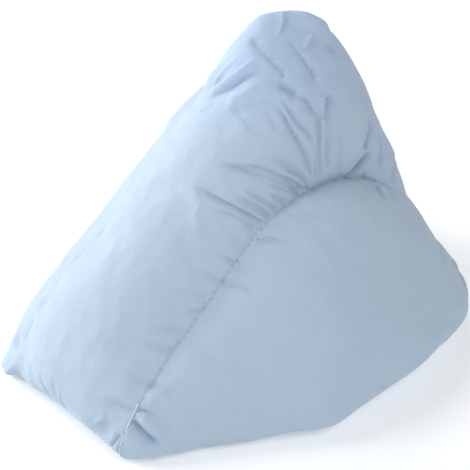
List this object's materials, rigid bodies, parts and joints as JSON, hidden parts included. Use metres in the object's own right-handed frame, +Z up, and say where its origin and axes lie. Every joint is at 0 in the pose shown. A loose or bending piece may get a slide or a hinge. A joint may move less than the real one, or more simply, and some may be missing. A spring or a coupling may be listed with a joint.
{
  "type": "heel support cushion",
  "caption": "Soft wedge cushion for raising a heel: sloped front, gathered leaning crest, bellied rounded end panels, flat underside.",
  "frame": {"origin": "on the ground under the middle of the cushion's bounding box", "axes": "+X from the front edge to the back, +Y from the near end panel to the far one, +Z up"},
  "size_m": [0.3216, 0.257, 0.2326],
  "materials": {
    "cover": "matte pale blue cotton"
  },
  "bodies": {
    "root": {"cushion": "cover"}
  },
  "joints": []
}
